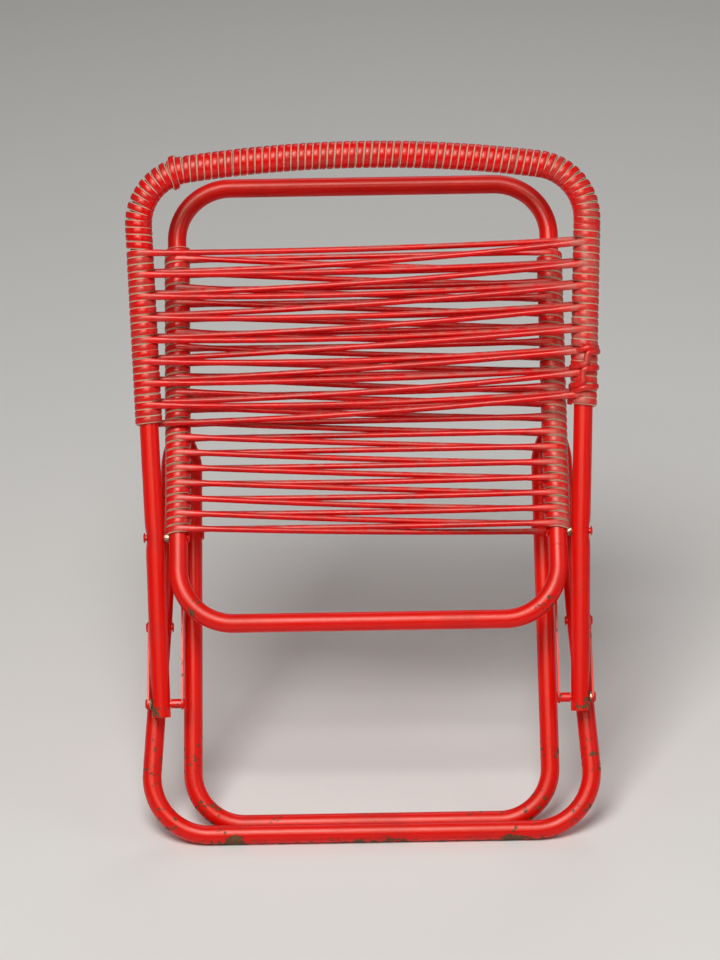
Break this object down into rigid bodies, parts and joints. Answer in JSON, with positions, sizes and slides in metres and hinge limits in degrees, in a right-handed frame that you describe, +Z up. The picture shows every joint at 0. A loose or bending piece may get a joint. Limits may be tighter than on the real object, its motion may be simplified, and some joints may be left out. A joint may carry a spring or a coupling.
{
  "type": "folding cord chair",
  "caption": "Folding patio chair of bent steel tube with a seat and a back of wound plastic cord, shown folded flat and leaning back on its foot bars.",
  "frame": {"origin": "on the floor under the middle of the folded chair's box, as it leans back by 25 degrees", "axes": "+Z up, +X to the right, +Y away from the front of the folded chair, where the back frame is"},
  "size_m": [0.474, 0.3646, 0.6406],
  "materials": {
    "red_enamel": "glossy enamel, chipped at the corners",
    "bare_steel": "dull, lightly rusted",
    "red_cord": "glossy hollow cord with a film of dust"
  },
  "bodies": {
    "seat": {"seat_frame_tube": "red_enamel", "seat_joining_plug": "bare_steel", "leg_bracket_left": "red_enamel", "leg_bracket_right": "red_enamel", "leg_pivot_rivet_left": "red_enamel", "leg_pivot_rivet_right": "red_enamel", "seat_cord_strands": "red_cord", "seat_winding_rear_left": "red_cord", "seat_winding_front_left": "red_cord", "seat_winding_rear_right": "red_cord", "seat_winding_front_right": "red_cord"},
    "back": {"back_frame_tube": "red_enamel", "back_cord_strands": "red_cord", "back_winding_top": "red_cord", "back_winding_left": "red_cord", "back_winding_right": "red_cord", "back_pivot_rivet_left": "red_enamel", "back_pivot_rivet_right": "red_enamel", "back_pivot_spacer_left": "bare_steel", "back_pivot_spacer_right": "bare_steel", "link_pin_left": "red_enamel", "link_pin_right": "red_enamel", "link_sleeve_left": "red_enamel", "link_sleeve_right": "red_enamel", "link_washer_left": "bare_steel", "link_washer_right": "bare_steel"},
    "outer_legs": {"outer_leg_tube": "red_enamel", "outer_leg_rivet_left": "red_enamel", "outer_leg_rivet_right": "red_enamel", "outer_leg_washer_left": "bare_steel", "outer_leg_washer_right": "bare_steel"},
    "inner_legs": {"inner_leg_tube": "red_enamel", "inner_leg_rivet_left": "red_enamel", "inner_leg_rivet_right": "red_enamel"},
    "outer_link_bar_left": {"outer_link_left": "red_enamel", "outer_link_rivet_left": "red_enamel"},
    "outer_link_bar_right": {"outer_link_right": "red_enamel", "outer_link_rivet_right": "red_enamel"},
    "inner_link_bar_left": {"inner_link_left": "red_enamel", "inner_link_rivet_left": "red_enamel"},
    "inner_link_bar_right": {"inner_link_right": "red_enamel", "inner_link_rivet_right": "red_enamel"}
  },
  "joints": [
    {"name": "back_fold", "type": "hinge", "parent": "seat", "child": "back", "pos_m": [0, -0.05445, 0.28355], "axis": [1, 0, 0], "range_deg": [0, 86.5]},
    {"name": "outer_leg_fold", "type": "hinge", "parent": "seat", "child": "outer_legs", "pos_m": [0, 0.06304, 0.38942], "axis": [1, 0, 0], "range_deg": [0, 58.36]},
    {"name": "inner_leg_fold", "type": "hinge", "parent": "seat", "child": "inner_legs", "pos_m": [0, 0.06304, 0.38942], "axis": [1, 0, 0], "range_deg": [0, 100.65]},
    {"name": "outer_link_turn_left", "type": "hinge", "parent": "back", "child": "outer_link_bar_left", "pos_m": [0, -0.12465, 0.13312], "axis": [1, 0, 0], "range_deg": [-148.23, 0]},
    {"name": "outer_link_turn_right", "type": "hinge", "parent": "back", "child": "outer_link_bar_right", "pos_m": [0, -0.12465, 0.13312], "axis": [1, 0, 0], "range_deg": [-148.23, 0]},
    {"name": "inner_link_turn_left", "type": "hinge", "parent": "back", "child": "inner_link_bar_left", "pos_m": [0, -0.12465, 0.13312], "axis": [1, 0, 0], "range_deg": [-83.34, 0]},
    {"name": "inner_link_turn_right", "type": "hinge", "parent": "back", "child": "inner_link_bar_right", "pos_m": [0, -0.12465, 0.13312], "axis": [1, 0, 0], "range_deg": [-83.34, 0]}
  ],
  "couplings": [
    {"joint": "outer_leg_fold", "follows": "back_fold", "ratio": 0.6712},
    {"joint": "inner_leg_fold", "follows": "back_fold", "ratio": 1.1601},
    {"joint": "outer_link_turn_left", "follows": "back_fold", "ratio": -1.7102},
    {"joint": "outer_link_turn_right", "follows": "back_fold", "ratio": -1.7102},
    {"joint": "inner_link_turn_left", "follows": "back_fold", "ratio": -0.96},
    {"joint": "inner_link_turn_right", "follows": "back_fold", "ratio": -0.96}
  ]
}
